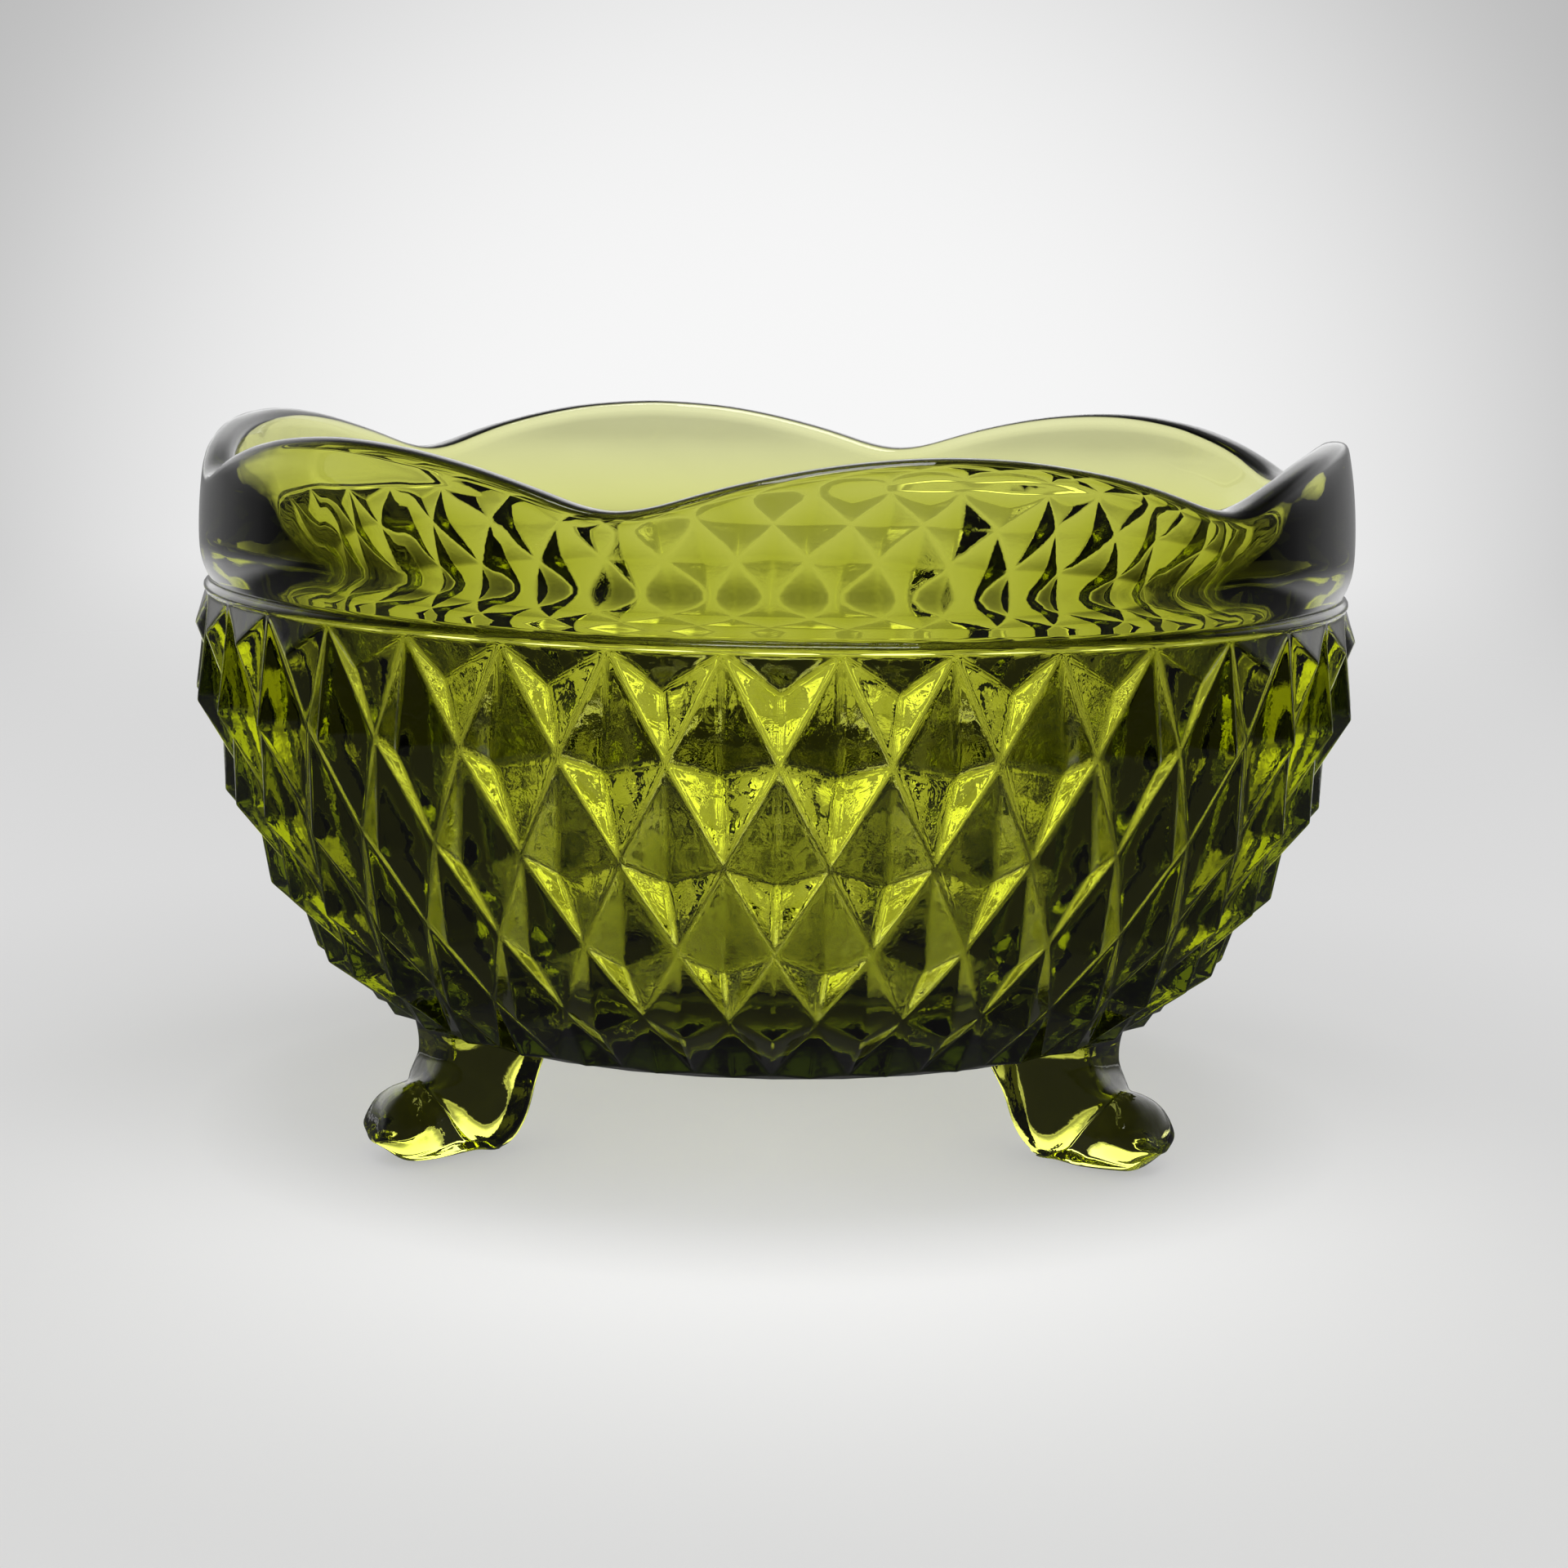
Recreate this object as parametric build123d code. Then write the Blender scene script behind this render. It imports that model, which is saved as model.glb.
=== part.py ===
from build123d import *
import math
import os

# Footed bowl of pressed glass, in millimetres and degrees. +Z is up, the feet stand on Z = 0,
# the bowl's axis is the Z axis and -Y is the front. Azimuths run from the front, positive to +X.

# Heights above the surface that the feet stand on
FLOOR_UNDERSIDE = 16.4
FLOOR_TOP = 23.0
LEDGE_HEIGHT = 70.1
NECK_HEIGHT = 71.3
BULGE_HEIGHT = 77.6
CREST_HEIGHT = 91.5
NOTCH_HEIGHT = 84.0

# Diamond wall: the grooves lie on an arc of a circle turned about the axis
COLUMNS = 36
FULL_ROWS = 4
LEDGE_RADIUS = 73.7
GROOVE_ARC_RADIUS = 85.0
GROOVE_ARC_START = 3.4
RELIEF_TO_WIDTH = 0.265
TOP_APEX_RADIUS = 75.0
TOP_APEX_DROP = 4.3
BOTTOM_APEX_RELIEF = 1.6
BOTTOM_APEX_RISE = 1.0
UNDERSIDE_EDGE_RADIUS = 49.0

# Inside: upright at the rim, then the wall swells inwards, turns back and follows the grooves
RIM_INNER_RADIUS = 69.8
SWELL_TOP = 87.4
SWELL_RADIUS = 32.0
TURN_BACK_RADIUS = 12.0
WALL_THICKNESS = 8.0
CAVITY_FILLET = 16.0
TOP_MARGIN = 1.0

# Shoulder ring between the diamonds and the rim band
BEAD_RADIUS = 73.9
BEAD_ROUNDING = 0.6
ROUNDING_MIDDLE = 0.3
NECK_RADIUS = 72.8

# Rim band
SCALLOPS = 6
FIRST_CREST_AZIMUTH = 15
BULGE_RADIUS = 74.4
RIM_RADIUS = 72.8
NOTCH_ROUNDING = 12.0
LIP_ROUNDING = 1.3

# Bowl floor
FLOOR_RADIUS = 37.0

# Feet: profile in the foot's own upright plane, as distance from the axis and height
FEET = {"foot_front_right": 60, "foot_front_left": -60, "foot_rear": 180}
FOOT_WIDTH = 12.0
FOOT_ROUNDING = 2.5
FOOT_CORNER_ROUNDING = 1.2
LEG_INNER_RADIUS = 34.2
LEG_OUTER_RADIUS = 48.8
HEEL_RADIUS = 40.2
SOLE_OUTER_RADIUS = 53.6
TOE_TIP = (57.3, 2.8)
TOE_BROW = (56.4, 6.1)
TOE_BACK = (51.6, 9.2)
ANKLE_HEIGHT = 11.6
BELOW_JOIN = FLOOR_UNDERSIDE - 1

PITCH = 360 / COLUMNS


def at_azimuth(radius, height, azimuth):
    """Point at a distance from the axis, in a vertical plane turned from the front."""
    turn = math.radians(azimuth)
    return Vector(radius * math.sin(turn), -radius * math.cos(turn), height)


def arc_centre():
    start = math.radians(GROOVE_ARC_START)
    radius = LEDGE_RADIUS - GROOVE_ARC_RADIUS * math.cos(start)
    return radius, LEDGE_HEIGHT + GROOVE_ARC_RADIUS * math.sin(start)


def arc_point(angle, offset=0.0):
    """Radius and height on the groove arc, an angle below level, moved outwards by an offset."""
    centre_radius, centre_height = arc_centre()
    reach = GROOVE_ARC_RADIUS + offset
    return centre_radius + reach * math.cos(angle), centre_height - reach * math.sin(angle)


def column_width(angle):
    return math.radians(PITCH) * arc_point(angle)[0]


def ring_angles():
    """Arc angles of the groove crossings: each row is as tall as its columns are wide."""
    angles = [math.radians(GROOVE_ARC_START)]
    for _ in range(FULL_ROWS + 1):
        angles.append(angles[-1] + column_width(angles[-1]) / GROOVE_ARC_RADIUS)
    return angles


def crossing(ring, half_columns):
    """Groove crossing on a ring, counted in half columns from the front."""
    radius, height = arc_point(ring_angles()[ring])
    return at_azimuth(radius, height, half_columns * PITCH / 2)


def facet(*corners):
    return Face(Wire.make_polygon(corners))


def top_half_diamond(column):
    """Three facets under the ledge: one faces up to it, two meet on an upright ridge."""
    middle = 2 * column
    left, right, bottom = crossing(0, middle - 1), crossing(0, middle + 1), crossing(1, middle)
    apex = at_azimuth(TOP_APEX_RADIUS, LEDGE_HEIGHT - TOP_APEX_DROP, middle * PITCH / 2)
    return [facet(left, right, apex), facet(left, apex, bottom), facet(apex, right, bottom)]


def full_diamond(row, column):
    """Four facets that rise from the grooves to one apex."""
    middle = 2 * column + row % 2
    left, right = crossing(row, middle - 1), crossing(row, middle + 1)
    top, bottom = crossing(row - 1, middle), crossing(row + 1, middle)
    angle = ring_angles()[row]
    apex = at_azimuth(*arc_point(angle, RELIEF_TO_WIDTH * column_width(angle)), middle * PITCH / 2)
    around = [top, right, bottom, left]
    return [facet(around[i - 1], around[i], apex) for i in range(4)]


def bottom_half_diamond(column):
    """Three facets that end the pattern above the underside."""
    row = FULL_ROWS + 1
    middle = 2 * column + row % 2
    left, right, top = crossing(row, middle - 1), crossing(row, middle + 1), crossing(row - 1, middle)
    radius, height = arc_point(ring_angles()[row], BOTTOM_APEX_RELIEF)
    apex = at_azimuth(radius, height + BOTTOM_APEX_RISE, middle * PITCH / 2)
    return [facet(left, top, apex), facet(top, right, apex), facet(right, left, apex)]


def underside_corner(column):
    return at_azimuth(UNDERSIDE_EDGE_RADIUS, FLOOR_UNDERSIDE, column * PITCH)


def underside_band(column):
    """Flat strip from the last groove ring down to the underside's edge."""
    low, high = 2 * column, 2 * column + 2
    right, left = underside_corner(column + 1), underside_corner(column)
    return facet(crossing(FULL_ROWS + 1, low), crossing(FULL_ROWS + 1, high), right, left)


def faceted_body():
    """Closed solid whose outside carries the diamonds, with flat ends."""
    faces = []
    for column in range(COLUMNS):
        faces += top_half_diamond(column)
        for row in range(1, FULL_ROWS + 1):
            faces += full_diamond(row, column)
        faces += bottom_half_diamond(column)
        faces.append(underside_band(column))
    faces.append(facet(*[crossing(0, 2 * column + 1) for column in range(COLUMNS)]))
    faces.append(facet(*[underside_corner(column) for column in range(COLUMNS)]))
    return Solid(Shell(faces))


def from_centre(centre, radius, angle):
    """Point on an arc, an angle below level."""
    return centre[0] + radius * math.cos(angle), centre[1] - radius * math.sin(angle)


def arc_between(centre, radius, start, end):
    middle = from_centre(centre, radius, (start + end) / 2)
    return ThreePointArc(from_centre(centre, radius, start), middle, from_centre(centre, radius, end))


def swell_turn(swell_centre, wall_radius):
    """Angle at which the swell gives way to the turn back, so that this one just touches the wall's arc."""
    reach = wall_radius + TURN_BACK_RADIUS
    low, high = 0.0, math.pi / 3
    while high - low > 1e-9:
        turn = (low + high) / 2
        centre = from_centre(swell_centre, SWELL_RADIUS + TURN_BACK_RADIUS, turn)
        if math.dist(centre, arc_centre()) > reach:
            low = turn
        else:
            high = turn
    return low


def cavity():
    """Smooth hollow inside the wall, from the floor's top to above the crest of the rim."""
    wall_radius = GROOVE_ARC_RADIUS - WALL_THICKNESS
    swell_centre = (RIM_INNER_RADIUS - SWELL_RADIUS, SWELL_TOP)
    turn = swell_turn(swell_centre, wall_radius)
    back_centre = from_centre(swell_centre, SWELL_RADIUS + TURN_BACK_RADIUS, turn)
    wall_start = math.atan2(arc_centre()[1] - back_centre[1], back_centre[0] - arc_centre()[0])
    wall_end = math.asin((arc_centre()[1] - FLOOR_TOP) / wall_radius)
    top = CREST_HEIGHT + TOP_MARGIN
    with BuildPart() as hollow:
        with BuildSketch(Plane.XZ):
            with BuildLine():
                swell = arc_between(swell_centre, SWELL_RADIUS, 0, turn)
                back = arc_between(back_centre, -TURN_BACK_RADIUS, turn, wall_start)
                wall = arc_between(arc_centre(), wall_radius, wall_start, wall_end)
                Polyline(wall @ 1, (0, FLOOR_TOP), (0, top), (RIM_INNER_RADIUS, top), swell @ 0)
            make_face()
        revolve(axis=Axis.Z)
        corner = hollow.edges().filter_by(GeomType.CIRCLE).sort_by(Axis.Z)[0]
        fillet(corner, CAVITY_FILLET)
    return hollow.part


def upright_disc(radius, bottom, height):
    return Pos(0, 0, bottom) * Cylinder(radius, height, align=(Align.CENTER, Align.CENTER, Align.MIN))


def bowl_floor():
    return upright_disc(FLOOR_RADIUS, FLOOR_UNDERSIDE, FLOOR_TOP - FLOOR_UNDERSIDE)


def diamond_wall(hollow):
    return Part() + faceted_body() - hollow - bowl_floor()


def shoulder_ring(hollow):
    """Bead on the ledge above the diamonds, drawn in to the neck."""
    middle = ROUNDING_MIDDLE * BEAD_ROUNDING
    with BuildPart() as ring:
        with BuildSketch(Plane.XZ):
            with BuildLine():
                Polyline(
                    (0, LEDGE_HEIGHT),
                    (LEDGE_RADIUS, LEDGE_HEIGHT),
                    (BEAD_RADIUS, LEDGE_HEIGHT + BEAD_ROUNDING / 2),
                    (BEAD_RADIUS, NECK_HEIGHT - BEAD_ROUNDING),
                )
                ThreePointArc(
                    (BEAD_RADIUS, NECK_HEIGHT - BEAD_ROUNDING),
                    (BEAD_RADIUS - middle, NECK_HEIGHT - middle),
                    (BEAD_RADIUS - BEAD_ROUNDING, NECK_HEIGHT),
                )
                Polyline((BEAD_RADIUS - BEAD_ROUNDING, NECK_HEIGHT), (0, NECK_HEIGHT), (0, LEDGE_HEIGHT))
            make_face()
        revolve(axis=Axis.Z)
    return ring.part - hollow


def rim_blank(hollow):
    """Band turned to its barrel profile, before its top is scalloped."""
    top = CREST_HEIGHT + TOP_MARGIN
    upper_middle = ((RIM_RADIUS + 3 * BULGE_RADIUS) / 4, (BULGE_HEIGHT + CREST_HEIGHT) / 2)
    with BuildPart() as band:
        with BuildSketch(Plane.XZ):
            with BuildLine():
                Line((0, NECK_HEIGHT), (NECK_RADIUS, NECK_HEIGHT))
                upper = ThreePointArc((BULGE_RADIUS, BULGE_HEIGHT), upper_middle, (RIM_RADIUS, CREST_HEIGHT))
                Spline(
                    (NECK_RADIUS, NECK_HEIGHT),
                    (BULGE_RADIUS, BULGE_HEIGHT),
                    tangents=((1, 1), (0, 1)),
                )
                Polyline(upper @ 1, (RIM_RADIUS, top), (0, top), (0, NECK_HEIGHT))
            make_face()
        revolve(axis=Axis.Z)
    return band.part - hollow


def scallop_arch(azimuth):
    """Wedge under one scallop: its arched top runs straight outwards."""
    reach = 2 * BULGE_RADIUS
    half_width = RIM_RADIUS * math.sin(math.pi / SCALLOPS)
    rise = CREST_HEIGHT - NOTCH_HEIGHT
    arch_radius = (half_width**2 + rise**2) / (2 * rise)
    arch_axis = Plane(origin=(0, 0, CREST_HEIGHT - arch_radius), z_dir=at_azimuth(1, 0, azimuth))
    arch = arch_axis * Cylinder(arch_radius, reach, align=(Align.CENTER, Align.CENTER, Align.MIN))
    corners = [at_azimuth(reach, NECK_HEIGHT, azimuth + side * 180 / SCALLOPS) for side in (-1, 1)]
    wedge = extrude(facet((0, 0, NECK_HEIGHT), *corners), CREST_HEIGHT, dir=(0, 0, 1))
    return wedge & arch


def distance_from_axis(point):
    return math.hypot(point.X, point.Y)


def radial_run(edge):
    """How much further from the axis one end of an edge is than the other."""
    return abs(distance_from_axis(edge @ 0) - distance_from_axis(edge @ 1))


def scalloped_ring():
    """Ring wider than the rim band, its top arched by the scallops and rounded in the notches."""
    ring = Part()
    for scallop in range(SCALLOPS):
        ring += scallop_arch(FIRST_CREST_AZIMUTH + scallop * 360 / SCALLOPS)
    margin = WALL_THICKNESS
    ring = ring & upright_disc(BULGE_RADIUS + margin, NECK_HEIGHT, CREST_HEIGHT)
    ring = ring - upright_disc(LEDGE_RADIUS - 2 * margin, NECK_HEIGHT, CREST_HEIGHT)
    notches = [edge for edge in ring.edges() if radial_run(edge) > margin and edge.center().Z > BULGE_HEIGHT]
    return fillet(notches, NOTCH_ROUNDING)


def scalloped_rim(hollow):
    """Rim band with its arched scallops, rounded notches and rounded lip."""
    rim = rim_blank(hollow) & scalloped_ring()
    above_bulge = [edge for edge in rim.edges() if edge.center().Z > NOTCH_HEIGHT - LIP_ROUNDING]
    lip = [edge for edge in above_bulge if radial_run(edge) < LIP_ROUNDING]
    return fillet(lip, LIP_ROUNDING)


def foot_profile():
    with BuildSketch(Plane.XZ) as outline:
        with BuildLine():
            toe = ThreePointArc(TOE_TIP, TOE_BROW, TOE_BACK)
            Polyline(
                toe @ 1,
                (LEG_OUTER_RADIUS, ANKLE_HEIGHT),
                (LEG_OUTER_RADIUS, FLOOR_UNDERSIDE),
                (LEG_INNER_RADIUS, FLOOR_UNDERSIDE),
                (HEEL_RADIUS, 0),
                (SOLE_OUTER_RADIUS, 0),
                TOE_TIP,
            )
        make_face()
        corners = [corner for corner in outline.vertices() if corner.Y < BELOW_JOIN]
        fillet(corners, FOOT_CORNER_ROUNDING)
    return outline.sketch


def foot(azimuth):
    """Short leg under the wall that ends in a round upturned toe."""
    block = extrude(foot_profile(), FOOT_WIDTH / 2, both=True)
    flanks = block.faces().sort_by(Axis.Y)
    borders = flanks[0].edges() + flanks[-1].edges()
    rounded = fillet([edge for edge in borders if edge.center().Z < BELOW_JOIN], FOOT_ROUNDING)
    return Rot(0, 0, azimuth - 90) * rounded


hollow = cavity()
parts = {
    "scalloped_rim": scalloped_rim(hollow),
    "shoulder_ring": shoulder_ring(hollow),
    "diamond_wall": diamond_wall(hollow),
    "bowl_floor": bowl_floor(),
}
for name, azimuth in FEET.items():
    parts[name] = foot(azimuth)

os.makedirs("parts", exist_ok=True)
for name, part in parts.items():
    export_step(part, os.path.join("parts", name + ".step"))
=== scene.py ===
# Footed pressed glass dish: its looks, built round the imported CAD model.
#
# Lengths in the mesh code are millimetres, and become metres when the mesh is made. Azimuths are
# degrees from the front (-Y), positive to +X, as in the CAD source. The stage's lengths are metres.

import math

import bmesh
import bpy
import numpy as np
from mathutils import Matrix, Vector


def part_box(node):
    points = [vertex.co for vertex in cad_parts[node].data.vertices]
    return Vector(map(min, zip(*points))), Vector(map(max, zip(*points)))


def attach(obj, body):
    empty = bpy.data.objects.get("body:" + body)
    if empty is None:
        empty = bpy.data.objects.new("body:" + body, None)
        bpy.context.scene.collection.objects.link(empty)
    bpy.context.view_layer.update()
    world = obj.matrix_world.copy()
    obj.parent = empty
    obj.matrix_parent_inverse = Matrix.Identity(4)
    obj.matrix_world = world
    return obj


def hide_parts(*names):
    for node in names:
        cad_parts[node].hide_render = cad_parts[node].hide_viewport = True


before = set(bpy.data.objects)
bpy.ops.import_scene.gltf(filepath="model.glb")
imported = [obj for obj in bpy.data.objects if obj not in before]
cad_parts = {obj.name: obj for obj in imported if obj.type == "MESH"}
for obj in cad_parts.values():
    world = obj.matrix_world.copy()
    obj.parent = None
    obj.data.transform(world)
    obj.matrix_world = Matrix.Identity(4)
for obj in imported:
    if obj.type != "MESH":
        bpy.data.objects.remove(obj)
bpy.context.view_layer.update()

MM = 0.001


def top_of(node):
    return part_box(node)[1].z / MM


def bottom_of(node):
    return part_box(node)[0].z / MM


def reach_of(node):
    """Largest distance from the axis along X, in mm."""
    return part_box(node)[1].x / MM


# Heights and radii read from the frame
FLOOR_UNDERSIDE = bottom_of("bowl_floor")
FLOOR_TOP = top_of("bowl_floor")
LEDGE_HEIGHT = bottom_of("shoulder_ring")
NECK_HEIGHT = top_of("shoulder_ring")
CREST_HEIGHT = top_of("scalloped_rim")
BEAD_RADIUS = reach_of("shoulder_ring")
BULGE_RADIUS = reach_of("scalloped_rim")

# Diamond wall: the groove crossings lie on an arc, in rows of diamonds as tall as they are wide
COLUMNS = 36
PITCH = 360 / COLUMNS
FULL_ROWS = 4
LEDGE_RADIUS = 73.7
GROOVE_ARC_RADIUS = 85.0
GROOVE_ARC_START = math.radians(3.4)
ARC_RADIUS_AT_AXIS = LEDGE_RADIUS - GROOVE_ARC_RADIUS * math.cos(GROOVE_ARC_START)
ARC_HEIGHT = LEDGE_HEIGHT + GROOVE_ARC_RADIUS * math.sin(GROOVE_ARC_START)
RELIEF_TO_WIDTH = 0.265
TOP_APEX_RADIUS = 75.0
TOP_APEX_DROP = 4.3
BOTTOM_APEX_RELIEF = 1.6
BOTTOM_APEX_RISE = 1.0
UNDERSIDE_EDGE_RADIUS = 49.0

# Cavity: an inward swell below the rim, an arc back, an even wall and a fillet into the floor
WALL_THICKNESS = 8.0
CAVITY_FILLET = 16.0
RIM_INNER_RADIUS = 69.8
SWELL_TOP = 87.4
SWELL_RADIUS = 32.0
SWELL_END_RADIUS = 12.0

# How far the top of the rim's inside is drawn in: the slope, where it starts and over what height
LEAN = 0.1
LEAN_START = 86.2
LEAN_BLEND = 0.6

# Rim band, its scallops and the lip
BULGE_HEIGHT = 77.6
NECK_RADIUS = 72.8
RIM_RADIUS = 72.8
SCALLOPS = 6
FIRST_CREST_AZIMUTH = 15.0
NOTCH_DEPTH = 7.5
NOTCH_BLEND = 4.3
ARCH_LIMIT = 0.95
LIP_ROUNDING = 1.3

# Bead on the shoulder, from the diamonds' top edge out and in to the neck, as (radius, height)
BEAD_ROUNDING = 0.6
BEAD_PROFILE = (
    (LEDGE_RADIUS - 0.05, LEDGE_HEIGHT + 0.06),
    (BEAD_RADIUS - 0.08, LEDGE_HEIGHT + 0.16),
    (BEAD_RADIUS, LEDGE_HEIGHT + 0.36),
    (BEAD_RADIUS, NECK_HEIGHT - BEAD_ROUNDING),
    (BEAD_RADIUS - 0.18, NECK_HEIGHT - 0.22),
    (BEAD_RADIUS - BEAD_ROUNDING, NECK_HEIGHT - 0.03),
    (NECK_RADIUS + 0.12, NECK_HEIGHT),
)

# Mesh density
FACET_CELLS = 11
EDGE_GRADING = 1.5
RING_POINTS = COLUMNS * FACET_CELLS
BAND_START = 0.1
BAND_RINGS = 18
BAND_GRADING = 1.25
LIP_STEP = 22.5
SWELL_STEPS = 14
SWELL_END_STEPS = 6
WALL_STEPS = 13
FILLET_STEPS = 8
FLOOR_RING_SHARES = (0.8, 0.6, 0.4, 0.2, 0.07)
UNDERSIDE_RING_RADII = (47, 44, 34, 20, 8, 3)
BOWL_WELD = 0.01
FOOT_WELD = 0.001
HALVINGS = 50

# Feet: sections from inside the bowl's floor to the toe, in the foot's upright plane. Each has the
# end on the heel and sole side and the end on the ankle and toe-top side, as (distance from the
# axis, height), and the half width.
FEET_AZIMUTHS = (60, -60, 180)
FOOT_SECTIONS = (
    ((33.6, 18.6), (50.6, 18.6), 7.4),
    ((34.0, 16.6), (49.6, 16.8), 7.0),
    ((35.4, 12.4), (49.2, 14.6), 6.4),
    ((37.2, 7.2), (49.4, 12.6), 6.2),
    ((39.2, 2.0), (50.2, 11.0), 6.1),
    ((41.2, 0.0), (51.0, 10.2), 5.6),
    ((43.6, 0.0), (51.8, 9.8), 4.9),
    ((45.6, 0.0), (52.6, 9.6), 5.4),
    ((48.4, 0.0), (53.8, 9.1), 6.6),
    ((51.6, 0.0), (55.2, 8.0), 7.0),
    ((54.2, 0.3), (56.3, 6.5), 6.3),
    ((56.4, 1.9), (57.0, 4.9), 4.6),
    ((57.6, 2.5), (57.5, 3.4), 1.3),
)
# Share of the half width over a toe section, from the sole to the toe's top: pad, waist and ball
TOE_FLANK = (
    (-1.0, 1.0),
    (-0.8, 0.99),
    (-0.6, 0.74),
    (-0.4, 0.82),
    (0.1, 1.0),
    (0.6, 0.94),
    (1.0, 0.9),
)
TOE_START = 5
# Squareness of the sections along the foot, as (section, power): a squared leg and a round toe
SQUARENESS = ((0, 6.0), (4, 5.0), (6, 3.2), (8, 2.5), (11, 2.2))
SECTION_POINTS = 44
SECTIONS_BETWEEN = 5

# Surface of the pressing: polished edges, then waves with lengths and a height in mm
POLISH_PASSES = 3
POLISH_SHARE = 0.5
WAVE_SEED = 7
WAVE_COUNT = 40
WAVE_LENGTHS = (7.0, 16.0)
WAVE_HEIGHT = 0.014
OUTSIDE_WAVE_SHARE = 0.5
FEET_WAVE_HEIGHTS = (12.5, 15.5)
FEET_WAVE_SHARE = 20.0
FACES_INWARDS = -0.1
FACES_UP = 0.8
SOLE_TOP = 0.2

# Glass: clear at its surface, olive by absorption, with a very fine skin below the ledge
GLASS_IOR = 1.51
ABSORPTION_COLOUR = (0.776, 0.794, 0.1, 1)
ABSORPTION_DENSITY = 228.0
SKIN_SCALE = 420.0
SKIN_DETAIL = 3.0
SKIN_DISTORTION = 0.6
SKIN_DEPTH = 0.00005

# What the camera sees of the floor. The gap below the soles is in mm.
FLOOR_SIZE = 4.0
FLOOR_GAP = 0.1
FLOOR_FADE = (0.3, 0.9)
FLOOR_ALBEDO = 0.28
FLOOR_GLOW = (0.46, 0.52)
FLOOR_GLOW_REACH = (0.09, 0.2)
# Painted pool of light on the floor in front of the dish: its centre, reach and added brightness
PAINTED_POOL_PLACE = (0.0, -0.052, 0.0)
PAINTED_POOL_REACH = 0.13
PAINTED_POOL_GLOW = 0.3
# Painted contact shadow: how far ambient occlusion reaches, how much it darkens the glow, and its
# samples
CONTACT_REACH = 0.03
CONTACT_SHADOW_SHARE = 0.4
CONTACT_SAMPLES = 16

# The same floor as a source of light: painted shade, standing in for the dish's shadow, as far as
# the dish's back, then bright paper
PAPER_PAINTED_SHADE = 0.02
PAPER_SHADE_REFLECTED = 0.09
PAPER_BRIGHT = 1.0
PAPER_START = (0.09, 0.19)

# Backdrop that the camera sees: a glow behind the dish, with angles in degrees
GLOW_AZIMUTH = 0.6
GLOW_ELEVATION = -5.0
BACKDROP_BRIGHT = 0.93
BACKDROP_EDGE = 0.5
BACKDROP_REACH = 17.0

# Surroundings as a source of light, by the height and depth of the direction: a belt behind
ENV_STRENGTH = 3.1
ENV_LOW = (0.0, 0.14)
ENV_FLOOR = 0.22
ENV_HIGH = (0.45, 0.7)
ENV_TOP = 0.25
ENV_BACK = (0.2, 0.9)
ENV_FRONT = 0.05
REFLECTED_SHARE = 0.45

OVERHEAD_PLACE = (0.05, -0.25, 1.1)
OVERHEAD_SIZE = (0.55, 0.55)
OVERHEAD_POWER = 6.0

# Camera, from a pinhole fit: distance and height in millimetres, angles in degrees
CAMERA_AZIMUTH = -0.55
CAMERA_DISTANCE = 426.4
CAMERA_HEIGHT = 111.75
CAMERA_PITCH = 9.0
CAMERA_YAW = 0.2
CAMERA_ROLL = 1.11
CAMERA_LENS = 75.0
CAMERA_SENSOR = 36.0
CAMERA_NEAR = 0.01


# ---------------------------------------------------------------- faceted outside

def at_azimuth(radius, height, azimuth):
    """Point at a distance from the axis, in a vertical plane turned from the front."""
    turn = math.radians(azimuth)
    return np.array((radius * math.sin(turn), -radius * math.cos(turn), height))


def on_arc(centre, radius, angle):
    """Radius and height of a point on an arc, an angle below level as seen from its centre."""
    return centre[0] + radius * math.cos(angle), centre[1] - radius * math.sin(angle)


ARC_CENTRE = (ARC_RADIUS_AT_AXIS, ARC_HEIGHT)


def arc_point(angle, offset=0.0):
    """Radius and height on the groove arc, moved outwards by an offset."""
    return on_arc(ARC_CENTRE, GROOVE_ARC_RADIUS + offset, angle)


def column_width(angle):
    return math.radians(PITCH) * arc_point(angle)[0]


def row_angles():
    """Arc angles of the groove crossings: each row is as tall as its columns are wide."""
    angles = [GROOVE_ARC_START]
    for _ in range(FULL_ROWS + 1):
        angles.append(angles[-1] + column_width(angles[-1]) / GROOVE_ARC_RADIUS)
    return angles


ROW_ANGLES = row_angles()


def crossing(row, half_columns):
    radius, height = arc_point(ROW_ANGLES[row])
    return at_azimuth(radius, height, half_columns * PITCH / 2)


def top_half_diamond(column):
    middle = 2 * column
    left, right, bottom = crossing(0, middle - 1), crossing(0, middle + 1), crossing(1, middle)
    apex = at_azimuth(TOP_APEX_RADIUS, LEDGE_HEIGHT - TOP_APEX_DROP, middle * PITCH / 2)
    return [(left, apex, right), (left, bottom, apex), (apex, bottom, right)]


def full_diamond(row, column):
    middle = 2 * column + row % 2
    angle = ROW_ANGLES[row]
    relief = RELIEF_TO_WIDTH * column_width(angle)
    apex = at_azimuth(*arc_point(angle, relief), middle * PITCH / 2)
    around = [
        crossing(row - 1, middle),
        crossing(row, middle - 1),
        crossing(row + 1, middle),
        crossing(row, middle + 1),
    ]
    return [(around[i - 1], around[i], apex) for i in range(4)]


def bottom_half_diamond(column):
    row = FULL_ROWS + 1
    middle = 2 * column + row % 2
    left, right = crossing(row, middle - 1), crossing(row, middle + 1)
    top = crossing(row - 1, middle)
    radius, height = arc_point(ROW_ANGLES[row], BOTTOM_APEX_RELIEF)
    apex = at_azimuth(radius, height + BOTTOM_APEX_RISE, middle * PITCH / 2)
    return [(top, left, apex), (apex, right, top), (left, right, apex)]


def underside_corner(column):
    return at_azimuth(UNDERSIDE_EDGE_RADIUS, FLOOR_UNDERSIDE, column * PITCH)


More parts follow.
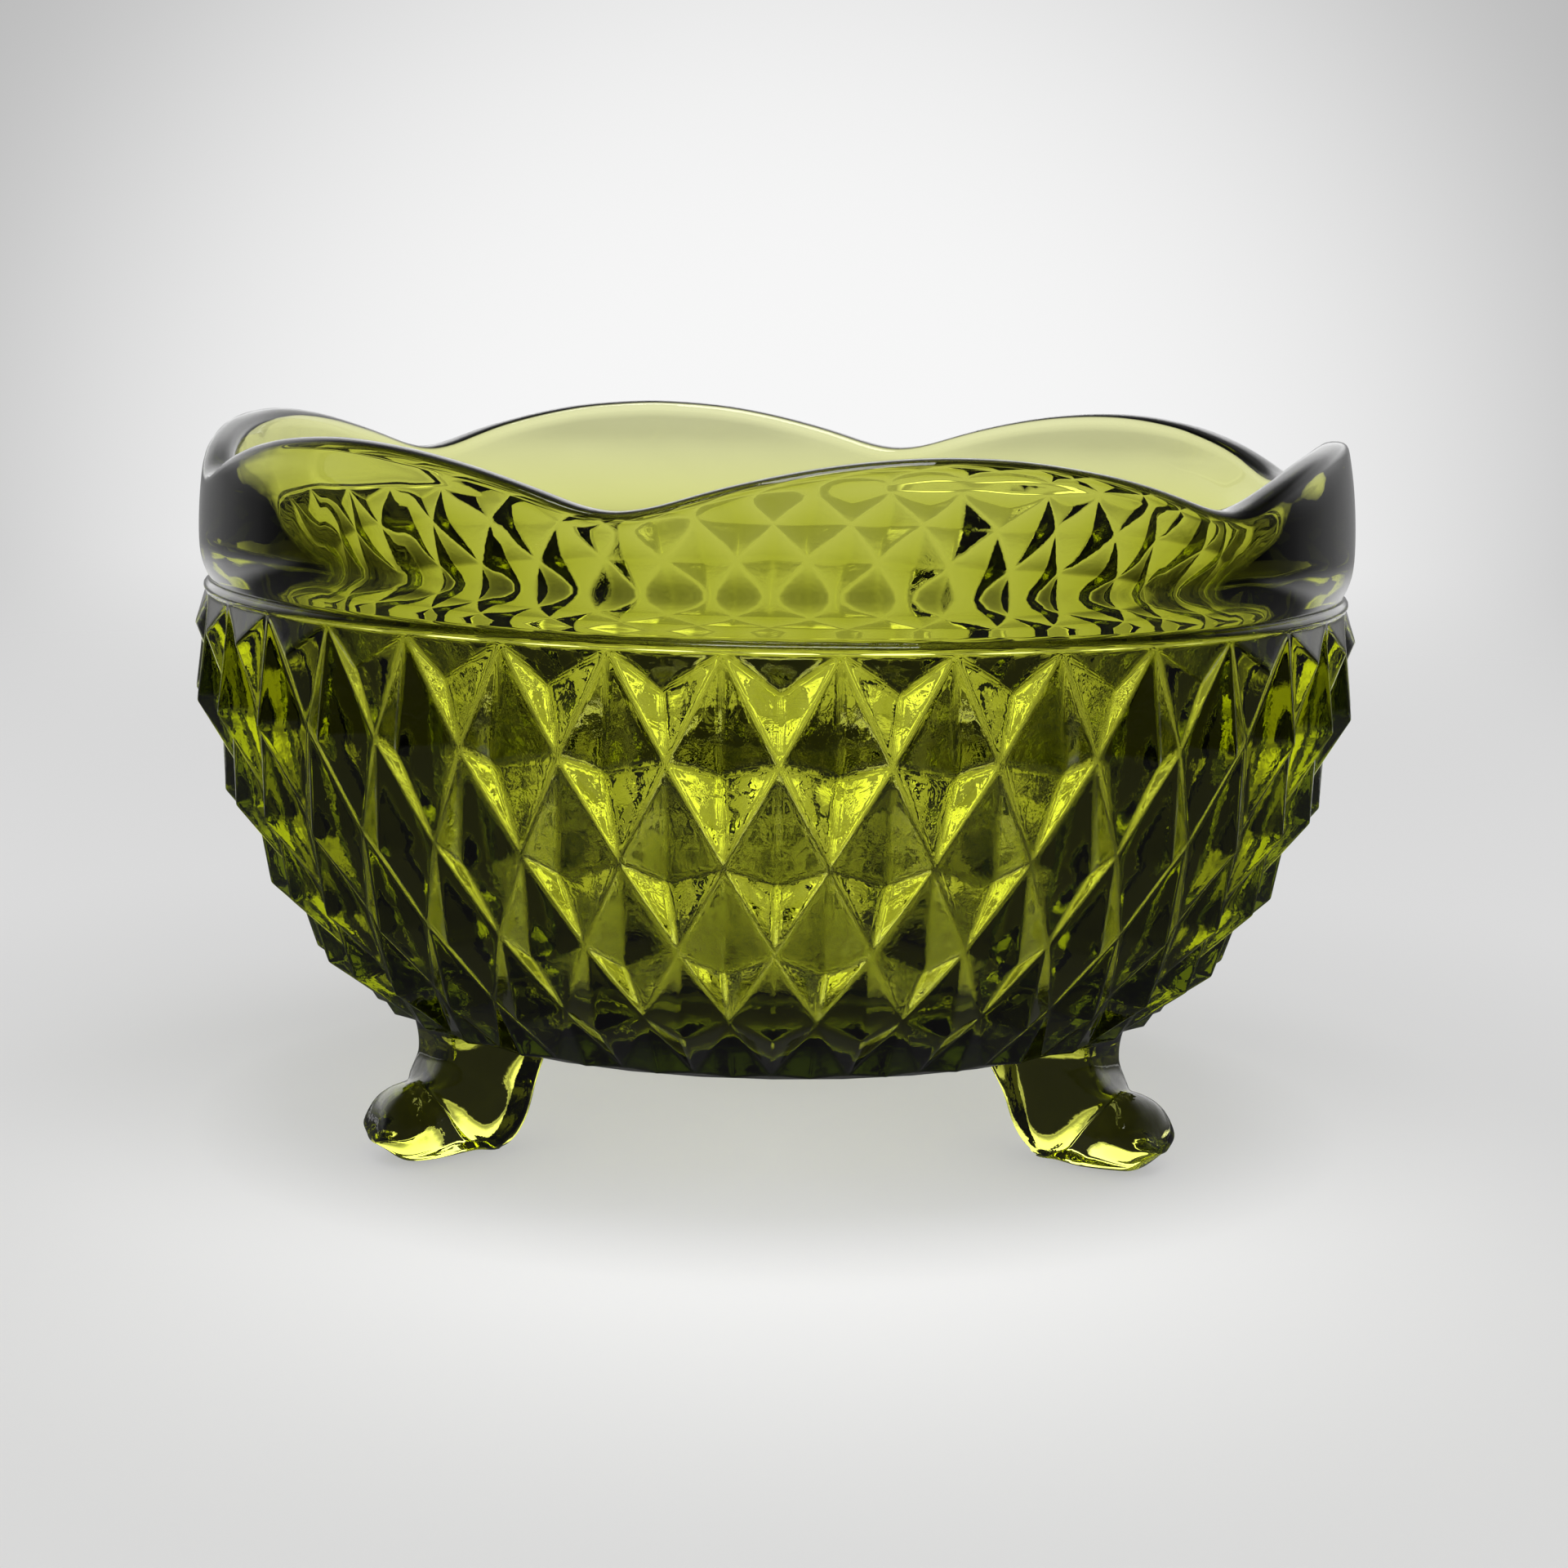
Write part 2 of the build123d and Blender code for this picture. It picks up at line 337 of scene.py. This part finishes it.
def underside_band(column):
    """Two facets from the last groove ring down to the underside's edge."""
    row = FULL_ROWS + 1
    high_left, high_right = crossing(row, 2 * column), crossing(row, 2 * column + 2)
    low_left, low_right = underside_corner(column), underside_corner(column + 1)
    return [(high_left, low_left, high_right), (low_left, low_right, high_right)]


def facets():
    for column in range(COLUMNS):
        yield from top_half_diamond(column)
        for row in range(1, FULL_ROWS + 1):
            yield from full_diamond(row, column)
        yield from bottom_half_diamond(column)
        yield from underside_band(column)


def graded(share):
    """Moves a share of the way along an edge nearer to the closer end, for small cells there."""
    near, far = share**EDGE_GRADING, (1 - share) ** EDGE_GRADING
    return near / (near + far)


class MeshBuilder:
    """Collects points and faces in millimetres."""

    def __init__(self):
        self.points, self.faces = [], []
        self.count = 0

    def add(self, points):
        """Adds points and returns the number of the first."""
        start = self.count
        self.points.append(np.asarray(points, float).reshape(-1, 3))
        self.count += len(self.points[-1])
        return start

    def join(self, low, high, count):
        """Quads between two closed rings of points, which start at low and high."""
        for i in range(count):
            j = (i + 1) % count
            self.faces.append((low + i, low + j, high + j, high + i))

    def object(self, name, weld):
        """Makes the object in metres; points closer than weld become one."""
        mesh = bpy.data.meshes.new(name)
        mesh.from_pydata((np.concatenate(self.points) * MM).tolist(), [], self.faces)
        work = bmesh.new()
        work.from_mesh(mesh)
        bmesh.ops.remove_doubles(work, verts=work.verts, dist=weld * MM)
        work.to_mesh(mesh)
        work.free()
        made = bpy.data.objects.new(name, mesh)
        bpy.context.scene.collection.objects.link(made)
        return made


def add_facet(builder, corners):
    """A flat facet as a grid of small triangles that are smaller along its edges."""
    n = FACET_CELLS
    shares, index = [], {}
    for i in range(n + 1):
        for j in range(n + 1 - i):
            index[i, j] = len(shares)
            shares.append((1 - (i + j) / n, i / n, j / n))
    weights = np.clip(np.array(shares), 0, 1) ** EDGE_GRADING
    weights /= weights.sum(1, keepdims=True)
    start = builder.add(weights @ np.array(corners))
    for i in range(n):
        for j in range(n - i):
            a, b, c = index[i, j], index[i + 1, j], index[i, j + 1]
            builder.faces.append((start + a, start + b, start + c))
            if i + j < n - 1:
                builder.faces.append((start + b, start + index[i + 1, j + 1], start + c))


# ---------------------------------------------------------------- turned surfaces

def ring_azimuths():
    """Azimuths of the mesh columns: those of points spaced along the diamonds' top chords."""
    shares = graded(np.arange(FACET_CELLS) / FACET_CELLS)
    half = math.radians(PITCH / 2)
    within = np.degrees(np.arctan(math.tan(half) * (2 * shares - 1)))
    return np.concatenate([column * PITCH + within for column in range(COLUMNS)])


def ring(azimuths, radius, height):
    turn = np.radians(azimuths)
    radius = np.broadcast_to(radius, turn.shape)
    height = np.broadcast_to(height, turn.shape)
    return np.column_stack((radius * np.sin(turn), -radius * np.cos(turn), height))


def polygon_ring(azimuths, within, corner_radius, height):
    """Ring along the straight sides of a polygon that has one side per column."""
    chord = corner_radius * math.cos(math.radians(PITCH / 2))
    return ring(azimuths, chord / np.cos(np.radians(within)), height)


def add_rings(builder, rings):
    """Joins each ring of points to the next; the faces look away when the rings go upwards."""
    starts = [builder.add(points) for points in rings]
    for low, high in zip(starts, starts[1:]):
        builder.join(low, high, RING_POINTS)
    return starts


def close_ring(builder, start, height, upwards):
    """A fan from a ring to a point on the axis."""
    centre = builder.add([(0, 0, height)])
    for i in range(RING_POINTS):
        a, b = start + i, start + (i + 1) % RING_POINTS
        builder.faces.append((a, b, centre) if upwards else (b, a, centre))


def rim_height(azimuths):
    """Height of the lip: arched scallops that blend into rounded notches."""
    half_width = RIM_RADIUS * math.sin(math.pi / SCALLOPS)
    arch_radius = (half_width**2 + NOTCH_DEPTH**2) / (2 * NOTCH_DEPTH)
    limit = ARCH_LIMIT * arch_radius
    spacing = 360 / SCALLOPS
    from_crest = (azimuths - FIRST_CREST_AZIMUTH + spacing / 2) % spacing - spacing / 2
    heights = []
    for offset in (-spacing, 0.0, spacing):
        sideways = RIM_RADIUS * np.sin(np.radians(from_crest + offset))
        drop = arch_radius - np.sqrt(arch_radius**2 - np.clip(sideways, -limit, limit) ** 2)
        heights.append(CREST_HEIGHT - drop)
    own, other = heights[1], np.maximum(heights[0], heights[2])
    blend = np.clip(NOTCH_BLEND - (own - other), 0, None) / NOTCH_BLEND
    return own + blend**2 * NOTCH_BLEND / 4


def band_radius(height):
    """Outside of the rim band: flares out of the neck, bulges and draws in again."""
    below = np.clip((height - NECK_HEIGHT) / (BULGE_HEIGHT - NECK_HEIGHT), 0, 1)
    above = np.clip((height - BULGE_HEIGHT) / (CREST_HEIGHT - BULGE_HEIGHT), 0, None)
    flare = (BULGE_RADIUS - NECK_RADIUS) * (1 - (1 - below) ** 3)
    return NECK_RADIUS + flare - (BULGE_RADIUS - RIM_RADIUS) * above**2


def inner_radius(height):
    """Inside of the rim: drawn in a little at the top, then an arc that swells inwards."""
    drop = np.clip(SWELL_TOP - height, 0, SWELL_RADIUS)
    drawn_in = LEAN * LEAN_BLEND * np.log1p(np.exp((height - LEAN_START) / LEAN_BLEND))
    return RIM_INNER_RADIUS - SWELL_RADIUS + np.sqrt(SWELL_RADIUS**2 - drop**2) - drawn_in


def swell_end(wall_arc):
    """Where the swell ends: the angle, the centre of the arc that turns back, and the point.

    The turning arc touches both the swell and the even wall's arc; its place is found by halving.
    """
    top_centre = (RIM_INNER_RADIUS - SWELL_RADIUS, SWELL_TOP)
    reach = wall_arc + SWELL_END_RADIUS
    low, high = 0.0, math.pi / 3
    for _ in range(HALVINGS):
        turn = (low + high) / 2
        centre = on_arc(top_centre, SWELL_RADIUS + SWELL_END_RADIUS, turn)
        away = math.hypot(centre[0] - ARC_RADIUS_AT_AXIS, centre[1] - ARC_HEIGHT)
        low, high = (turn, high) if away > reach else (low, turn)
    return turn, centre, on_arc(top_centre, SWELL_RADIUS, turn)


def inside_profile():
    """Points (radius, height) down the inside, from the end of the swell to the flat floor."""
    wall_arc = GROOVE_ARC_RADIUS - WALL_THICKNESS
    turn, end_centre, end_point = swell_end(wall_arc)
    wall_turn = math.atan2(ARC_HEIGHT - end_centre[1], end_centre[0] - ARC_RADIUS_AT_AXIS)
    fillet_height = FLOOR_TOP + CAVITY_FILLET
    reach = wall_arc - CAVITY_FILLET
    floor_turn = math.asin((ARC_HEIGHT - fillet_height) / reach)
    fillet_centre = (ARC_RADIUS_AT_AXIS + reach * math.cos(floor_turn), fillet_height)
    profile = [end_point]
    for centre, radius, start, end, steps in (
        (end_centre, -SWELL_END_RADIUS, turn, wall_turn, SWELL_END_STEPS),
        (ARC_CENTRE, wall_arc, wall_turn, floor_turn, WALL_STEPS),
        (fillet_centre, CAVITY_FILLET, floor_turn, math.pi / 2, FILLET_STEPS),
    ):
        for angle in np.linspace(start, end, steps + 1)[1:]:
            profile.append(on_arc(centre, radius, angle))
    return profile


def bead_rings(azimuths):
    return [ring(azimuths, radius, height) for radius, height in BEAD_PROFILE]


def band_rings(azimuths, lip_start):
    """Up the outside of the band, closer together near the neck."""
    start = NECK_HEIGHT + BAND_START
    shares = ((np.arange(BAND_RINGS) + 1) / BAND_RINGS) ** BAND_GRADING
    heights = [start + share * (lip_start - NECK_HEIGHT - BAND_START) for share in shares]
    return [ring(azimuths, band_radius(height), height) for height in heights]


def lip_rings(azimuths, lip_start):
    """Over the lip, from the outside to the inside."""
    outer = band_radius(lip_start) - LIP_ROUNDING
    inner = inner_radius(lip_start) + LIP_ROUNDING
    rings = []
    for quarter, centre in ((0, outer), (90, inner)):
        for angle in np.radians(quarter + np.arange(0, 90 + LIP_STEP / 2, LIP_STEP)):
            radius = centre + LIP_ROUNDING * math.cos(angle)
            rings.append(ring(azimuths, radius, lip_start + LIP_ROUNDING * math.sin(angle)))
    return rings[1:]


def inside_rings(azimuths, lip_start):
    """Down the inside: the swell from under the lip, the rest of the profile, and the floor."""
    profile = inside_profile()
    swell_bottom = profile[0][1]
    rings = []
    for share in np.linspace(0, 1, SWELL_STEPS + 1)[1:-1]:
        height = lip_start + share * (swell_bottom - lip_start)
        rings.append(ring(azimuths, inner_radius(height), height))
    for radius, height in profile:
        rings.append(ring(azimuths, radius, height))
    for share in FLOOR_RING_SHARES:
        rings.append(ring(azimuths, profile[-1][0] * share, FLOOR_TOP))
    return rings


def bowl_mesh():
    builder = MeshBuilder()
    for corners in facets():
        add_facet(builder, corners)
    azimuths = ring_azimuths()
    within = (azimuths + PITCH / 2) % PITCH - PITCH / 2
    lip_start = rim_height(azimuths) - LIP_ROUNDING
    rings = [polygon_ring(azimuths, within, LEDGE_RADIUS, LEDGE_HEIGHT)]
    rings += bead_rings(azimuths)
    rings += band_rings(azimuths, lip_start)
    rings += lip_rings(azimuths, lip_start)
    rings += inside_rings(azimuths, lip_start)
    starts = add_rings(builder, rings)
    close_ring(builder, starts[-1], FLOOR_TOP, upwards=True)
    azimuths = azimuths + PITCH / 2
    underside = [polygon_ring(azimuths, within, UNDERSIDE_EDGE_RADIUS, FLOOR_UNDERSIDE)]
    underside += [ring(azimuths, radius, FLOOR_UNDERSIDE) for radius in UNDERSIDE_RING_RADII]
    starts = add_rings(builder, underside[::-1])
    close_ring(builder, starts[0], FLOOR_UNDERSIDE, upwards=False)
    return builder.object("dish_glass", BOWL_WELD)


# ---------------------------------------------------------------- feet

def smooth_path(points, between):
    """Catmull-Rom curve through points, as an array."""
    points = np.array(points, float)
    padded = np.vstack((2 * points[0] - points[1], points, 2 * points[-1] - points[-2]))
    out = []
    for a, b, c, d in zip(padded, padded[1:], padded[2:], padded[3:]):
        square, cube = 2 * a - 5 * b + 4 * c - d, 3 * b - a - 3 * c + d
        for t in np.arange(between) / between:
            out.append(0.5 * (2 * b + (c - a) * t + square * t**2 + cube * t**3))
    out.append(points[-1])
    return np.array(out)


def rounded_section(count, power):
    """Points round a squarish oval of half size 1."""
    angles = 2 * math.pi * np.arange(count) / count
    cosine, sine = np.cos(angles), np.sin(angles)
    bend = 2 / power
    return np.sign(cosine) * np.abs(cosine) ** bend, np.sign(sine) * np.abs(sine) ** bend


def foot_mesh(azimuth):
    rows = smooth_path([(*a, *b, w) for a, b, w in FOOT_SECTIONS], SECTIONS_BETWEEN)
    builder = MeshBuilder()
    turn = math.radians(azimuth)
    outwards = np.array((math.sin(turn), -math.cos(turn)))
    sideways = np.array((math.cos(turn), math.sin(turn)))
    starts = []
    last = len(rows) - 1
    for row, (heel_r, heel_z, toe_r, toe_z, width) in enumerate(rows):
        power = np.interp(row / SECTIONS_BETWEEN, *np.transpose(SQUARENESS))
        along, across = rounded_section(SECTION_POINTS, power)
        flank = np.interp(along, *np.transpose(TOE_FLANK))
        radius = (heel_r + toe_r) / 2 + along * (toe_r - heel_r) / 2
        height = np.maximum((heel_z + toe_z) / 2 + along * (toe_z - heel_z) / 2, 0)
        toe = np.clip(row / SECTIONS_BETWEEN - TOE_START, 0, 1)
        toe *= np.clip((last - row) / SECTIONS_BETWEEN, 0, 1)
        spread = across * width * (1 + toe * (flank - 1))
        plan = radius[:, None] * outwards + spread[:, None] * sideways
        starts.append(builder.add(np.column_stack((plan, height))))
    for low, high in zip(starts, starts[1:]):
        builder.join(low, high, SECTION_POINTS)
    builder.faces.append(tuple(starts[0] + i for i in range(SECTION_POINTS))[::-1])
    builder.faces.append(tuple(starts[-1] + i for i in range(SECTION_POINTS)))
    foot = builder.object("foot", FOOT_WELD)
    work = bmesh.new()
    work.from_mesh(foot.data)
    bmesh.ops.recalc_face_normals(work, faces=work.faces)
    work.to_mesh(foot.data)
    work.free()
    return foot


def merged(body, others):
    """Body and others as one closed mesh."""
    for other in others:
        union = body.modifiers.new("foot", "BOOLEAN")
        union.operation = "UNION"
        union.solver = "EXACT"
        union.object = other
    bpy.context.view_layer.update()
    evaluated = body.evaluated_get(bpy.context.evaluated_depsgraph_get())
    mesh = bpy.data.meshes.new_from_object(evaluated)
    body.modifiers.clear()
    body.data = mesh
    for other in others:
        bpy.data.objects.remove(other)
    return body


# ---------------------------------------------------------------- mesh work on the joined glass

def mesh_points(mesh):
    points = np.empty(len(mesh.vertices) * 3)
    mesh.vertices.foreach_get("co", points)
    return points.reshape(-1, 3)


def fire_polish(glass, passes, share):
    """Rounds edges: each point moves part of the way to the middle of its neighbours."""
    mesh = glass.data
    points = mesh_points(mesh)
    count = len(points)
    edges = np.empty(len(mesh.edges) * 2, int)
    mesh.edges.foreach_get("vertices", edges)
    a, b = edges.reshape(-1, 2).T
    degree = np.bincount(a, minlength=count) + np.bincount(b, minlength=count)
    for _ in range(passes):
        total = np.zeros_like(points)
        np.add.at(total, a, points[b])
        np.add.at(total, b, points[a])
        points += share * (total / degree[:, None] - points)
    mesh.vertices.foreach_set("co", points.ravel())
    mesh.update()


def pressed_waves(glass):
    """Moves the surface in and out along its normals, by a sum of waves in random directions.

    The cavity has the full waves, the outside less and the feet far more. Soles only hollow out.
    """
    mesh = glass.data
    points = mesh_points(mesh)
    normals = np.empty(len(points) * 3)
    mesh.vertex_normals.foreach_get("vector", normals)
    normals = normals.reshape(-1, 3)
    random = np.random.default_rng(WAVE_SEED)
    height = np.zeros(len(points))
    for _ in range(WAVE_COUNT):
        heading = random.normal(size=3)
        heading /= np.linalg.norm(heading)
        length = random.uniform(*WAVE_LENGTHS) * MM
        phase = random.uniform(0, 2 * math.pi)
        height += np.sin(points @ heading * 2 * math.pi / length + phase)
    height *= WAVE_HEIGHT * MM * math.sqrt(2 / WAVE_COUNT)
    radius = np.hypot(points[:, 0], points[:, 1])
    outwards = normals[:, 0] * points[:, 0] + normals[:, 1] * points[:, 1]
    outwards /= np.maximum(radius, MM)
    cavity_floor = (normals[:, 2] > FACES_UP) & (points[:, 2] > FLOOR_UNDERSIDE * MM)
    cavity = (outwards < FACES_INWARDS) | cavity_floor
    height *= np.where(cavity, 1.0, OUTSIDE_WAVE_SHARE)
    height *= np.interp(points[:, 2] / MM, FEET_WAVE_HEIGHTS, (FEET_WAVE_SHARE, 1.0))
    sole = points[:, 2] < SOLE_TOP * MM
    height[sole] = -np.abs(height[sole])
    points += normals * height[:, None]
    points[:, 2] = np.maximum(points[:, 2], 0)
    mesh.vertices.foreach_set("co", points.ravel())
    mesh.update()


def dish_glass():
    body = bowl_mesh()
    feet = [foot_mesh(azimuth) for azimuth in FEET_AZIMUTHS]
    glass = merged(body, feet)
    fire_polish(glass, POLISH_PASSES, POLISH_SHARE)
    pressed_waves(glass)
    for polygon in glass.data.polygons:
        polygon.use_smooth = True
    return glass


# ---------------------------------------------------------------- materials

class NodeSheet:
    """Short calls for building a node tree. Inputs are given by number: i0, i1 and so on."""

    def __init__(self, tree):
        self.tree = tree

    def add(self, kind, settings=None, **inputs):
        node = self.tree.nodes.new(kind)
        for name, value in (settings or {}).items():
            setattr(node, name, value)
        for name, value in inputs.items():
            self.feed(node.inputs[int(name[1:])], value)
        return node

    def feed(self, socket, value):
        if isinstance(value, bpy.types.NodeSocket):
            self.tree.links.new(value, socket)
        else:
            socket.default_value = value

    def multiply(self, a, b):
        return self.add("ShaderNodeMath", {"operation": "MULTIPLY"}, i0=a, i1=b).outputs[0]

    def plus(self, a, b):
        return self.add("ShaderNodeMath", {"operation": "ADD"}, i0=a, i1=b).outputs[0]

    def vector(self, operation, a, **b):
        """Number made from one or two vectors."""
        node = self.add("ShaderNodeVectorMath", {"operation": operation}, i0=a, **b)
        return node.outputs["Value"]

    def ramp(self, value, low, high, to_low=0.0, to_high=1.0):
        """Smooth step from to_low at low to to_high at high."""
        settings = {"interpolation_type": "SMOOTHSTEP"}
        ends = {"i1": low, "i2": high, "i3": to_low, "i4": to_high}
        return self.add("ShaderNodeMapRange", settings, i0=value, **ends).outputs[0]

    def mix(self, share, a, b):
        """Number that goes from a to b with share."""
        node = self.add("ShaderNodeMix", {"data_type": "FLOAT"}, i0=share, i2=a, i3=b)
        return node.outputs[0]

    def grey(self, value):
        return self.add("ShaderNodeCombineColor", i0=value, i1=value, i2=value).outputs[0]


def olive_glass():
    material = bpy.data.materials.new("olive_glass")
    material.use_nodes = True
    nodes, links = material.node_tree.nodes, material.node_tree.links
    surface = nodes["Principled BSDF"]
    surface.inputs["Base Color"].default_value = (1, 1, 1, 1)
    surface.inputs["Transmission Weight"].default_value = 1.0
    surface.inputs["IOR"].default_value = GLASS_IOR
    surface.inputs["Roughness"].default_value = 0.0
    place = nodes.new("ShaderNodeTexCoord").outputs["Object"]
    bump = nodes.new("ShaderNodeBump")
    bump.inputs["Distance"].default_value = SKIN_DEPTH
    grain = nodes.new("ShaderNodeTexNoise")
    grain.inputs["Scale"].default_value = SKIN_SCALE
    grain.inputs["Detail"].default_value = SKIN_DETAIL
    grain.inputs["Distortion"].default_value = SKIN_DISTORTION
    links.new(place, grain.inputs["Vector"])
    height = nodes.new("ShaderNodeSeparateXYZ")
    links.new(place, height.inputs[0])
    below_ledge = nodes.new("ShaderNodeMapRange")
    below_ledge.inputs["From Min"].default_value = LEDGE_HEIGHT * MM
    below_ledge.inputs["From Max"].default_value = (LEDGE_HEIGHT - TOP_APEX_DROP) * MM
    links.new(height.outputs["Z"], below_ledge.inputs["Value"])
    skin = nodes.new("ShaderNodeMath")
    skin.operation = "MULTIPLY"
    links.new(grain.outputs["Fac"], skin.inputs[0])
    links.new(below_ledge.outputs["Result"], skin.inputs[1])
    links.new(skin.outputs[0], bump.inputs["Height"])
    links.new(bump.outputs["Normal"], surface.inputs["Normal"])
    inside = nodes.new("ShaderNodeVolumeAbsorption")
    inside.inputs["Color"].default_value = ABSORPTION_COLOUR
    inside.inputs["Density"].default_value = ABSORPTION_DENSITY
    links.new(inside.outputs[0], nodes["Material Output"].inputs["Volume"])
    return material


glass = dish_glass()
glass.data.materials.clear()
glass.data.materials.append(olive_glass())
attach(glass, "root")
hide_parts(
    "scalloped_rim",
    "shoulder_ring",
    "diamond_wall",
    "bowl_floor",
    "foot_front_left",
    "foot_front_right",
    "foot_rear",
)


# ---------------------------------------------------------------- stage

def seen_floor(sheet, place, distance):
    """Brightness of the floor to the camera: even, with a painted pool of light in front and
    painted contact shadows.
    """
    # Painted pool of light: the floor's glow is raised near a point in front of the dish
    painted_pool_distance = sheet.vector("DISTANCE", place, i1=PAINTED_POOL_PLACE)
    painted_pool_light = sheet.ramp(painted_pool_distance, 0.0, PAINTED_POOL_REACH, PAINTED_POOL_GLOW, 0.0)
    # Painted contact shadow: ambient occlusion darkens the floor's glow near the glass and the feet
    samples = {"samples": CONTACT_SAMPLES}
    open_sky = sheet.add("ShaderNodeAmbientOcclusion", samples, i1=CONTACT_REACH).outputs["AO"]
    painted_contact_shadow = sheet.mix(open_sky, 1 - CONTACT_SHADOW_SHARE, 1.0)
    even = sheet.ramp(distance, *FLOOR_GLOW_REACH, *FLOOR_GLOW)
    return sheet.multiply(sheet.plus(even, painted_pool_light), painted_contact_shadow)


def sweep_floor():
    """Pale sweep paper, with one brightness to the camera and another as a source of light, with
    painted shade near the dish.
    """
    mesh = bpy.data.meshes.new("floor")
    h, z = FLOOR_SIZE / 2, -FLOOR_GAP * MM
    mesh.from_pydata([(-h, -h, z), (h, -h, z), (h, h, z), (-h, h, z)], [], [(0, 1, 2, 3)])
    floor = bpy.data.objects.new("floor", mesh)
    bpy.context.scene.collection.objects.link(floor)
    material = bpy.data.materials.new("floor")
    material.use_nodes = True
    sheet = NodeSheet(material.node_tree)
    material.node_tree.nodes.clear()
    place = sheet.add("ShaderNodeNewGeometry").outputs["Position"]
    depth = sheet.add("ShaderNodeSeparateXYZ", i0=place).outputs["Y"]
    distance = sheet.vector("LENGTH", place)
    path = sheet.add("ShaderNodeLightPath").outputs
    pale = seen_floor(sheet, place, distance)
    # Painted shade: near the dish the floor is dark to light seen through the glass, a little less
    # dark in reflections
    painted_shade = sheet.mix(path["Is Reflection Ray"], PAPER_PAINTED_SHADE, PAPER_SHADE_REFLECTED)
    behind = sheet.ramp(depth, *PAPER_START, painted_shade, PAPER_BRIGHT)
    strength = sheet.mix(path["Is Camera Ray"], behind, pale)
    # Painted shade: the floor's albedo is dark to every ray but the camera's
    albedo = sheet.mix(path["Is Camera Ray"], PAPER_PAINTED_SHADE, FLOOR_ALBEDO)
    diffuse = sheet.add("ShaderNodeBsdfDiffuse", i0=sheet.grey(albedo)).outputs[0]
    glow = sheet.add("ShaderNodeEmission", i0=(1, 1, 1, 1), i1=strength).outputs[0]
    paper = sheet.add("ShaderNodeAddShader", i0=diffuse, i1=glow).outputs[0]
    clear = sheet.add("ShaderNodeBsdfTransparent").outputs[0]
    fade = sheet.ramp(distance, *FLOOR_FADE)
    blend = sheet.add("ShaderNodeMixShader", i0=fade, i1=paper, i2=clear).outputs[0]
    sheet.add("ShaderNodeOutputMaterial", i0=blend)
    mesh.materials.append(material)


def direction(azimuth, elevation):
    """Unit vector away behind the dish, turned to the right and up by angles in degrees."""
    a, e = math.radians(azimuth), math.radians(elevation)
    return (math.sin(a) * math.cos(e), math.cos(a) * math.cos(e), math.sin(e))


def studio_world():
    """A soft backdrop to the camera, and a bright belt behind the dish as a source of light."""
    world = bpy.data.worlds.new("studio")
    bpy.context.scene.world = world
    world.use_nodes = True
    sheet = NodeSheet(world.node_tree)
    world.node_tree.nodes.clear()
    towards = sheet.add("ShaderNodeTexCoord").outputs["Generated"]
    parts = sheet.add("ShaderNodeSeparateXYZ", i0=towards).outputs
    glow = sheet.vector("DOT_PRODUCT", towards, i1=direction(GLOW_AZIMUTH, GLOW_ELEVATION))
    edge = math.cos(math.radians(BACKDROP_REACH))
    backdrop = sheet.ramp(glow, edge, 1.0, BACKDROP_EDGE, BACKDROP_BRIGHT)
    below = sheet.ramp(parts["Z"], *ENV_LOW, ENV_FLOOR, 1.0)
    above = sheet.ramp(parts["Z"], *ENV_HIGH, 1.0, ENV_TOP)
    belt = sheet.multiply(sheet.multiply(below, above), ENV_STRENGTH)
    back = sheet.ramp(parts["Y"], *ENV_BACK, ENV_FRONT, 1.0)
    path = sheet.add("ShaderNodeLightPath").outputs
    share = sheet.mix(path["Is Reflection Ray"], 1.0, REFLECTED_SHARE)
    light = sheet.multiply(sheet.multiply(belt, back), share)
    colour = sheet.grey(sheet.mix(path["Is Camera Ray"], light, backdrop))
    background = sheet.add("ShaderNodeBackground", i0=colour, i1=1.0).outputs[0]
    sheet.add("ShaderNodeOutputWorld", i0=background)


def soft_box(name, place, size, power):
    """Rectangular light aimed at the origin."""
    light = bpy.data.lights.new(name, "AREA")
    light.shape = "RECTANGLE"
    light.size, light.size_y = size
    light.energy = power
    lamp = bpy.data.objects.new(name, light)
    lamp.location = place
    lamp.rotation_euler = (-Vector(place)).to_track_quat("-Z", "Y").to_euler()
    bpy.context.scene.collection.objects.link(lamp)


sweep_floor()
studio_world()
soft_box("overhead", OVERHEAD_PLACE, OVERHEAD_SIZE, OVERHEAD_POWER)

camera_data = bpy.data.cameras.new("camera")
camera_data.lens = CAMERA_LENS
camera_data.sensor_width = CAMERA_SENSOR
camera_data.clip_start = CAMERA_NEAR
camera = bpy.data.objects.new("camera", camera_data)
bpy.context.scene.collection.objects.link(camera)
camera.matrix_world = (
    Matrix.Rotation(math.radians(CAMERA_AZIMUTH), 4, "Z")
    @ Matrix.Translation((0, -CAMERA_DISTANCE * MM, CAMERA_HEIGHT * MM))
    @ Matrix.Rotation(math.radians(-CAMERA_YAW), 4, "Z")
    @ Matrix.Rotation(math.radians(90 - CAMERA_PITCH), 4, "X")
    @ Matrix.Rotation(math.radians(CAMERA_ROLL), 4, "Z")
)
bpy.context.scene.camera = camera
bpy.context.scene.view_settings.view_transform = "Standard"
